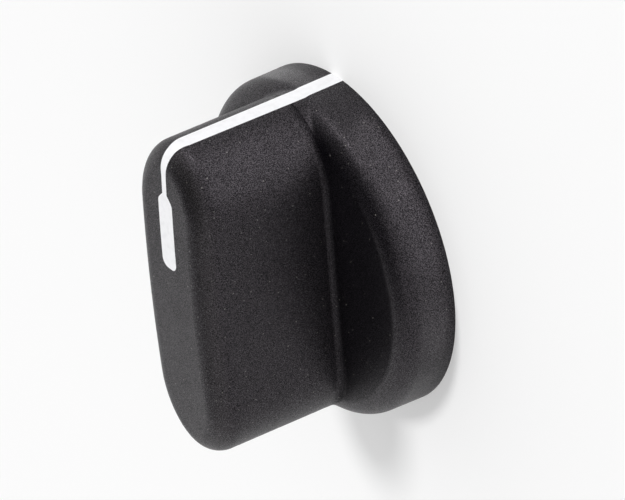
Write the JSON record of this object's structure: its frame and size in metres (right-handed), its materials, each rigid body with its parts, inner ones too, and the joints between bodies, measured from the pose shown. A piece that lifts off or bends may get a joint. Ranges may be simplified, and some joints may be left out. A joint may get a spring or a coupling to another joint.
{
  "type": "control knob",
  "caption": "Round-skirted control knob with a grip bar across it, a flush white pointer line, and a hollow ribbed back whose D-shaped shaft socket holds a spring clip.",
  "frame": {"origin": "on the shaft axis, in the plane of the skirt's back edge, which is the plane of the appliance's panel", "axes": "+Z along the shaft axis away from the panel, +Y towards the pointer, +X across the grip bar"},
  "size_m": [0.044, 0.044, 0.0255],
  "materials": {
    "black_plastic": "fine spark-eroded matte texture",
    "white_infill": "smooth satin",
    "spring_steel": "rolled strip"
  },
  "bodies": {
    "root": {"knob_body": "black_plastic", "pointer_line": "white_infill", "shaft_clip": "spring_steel"}
  },
  "joints": []
}
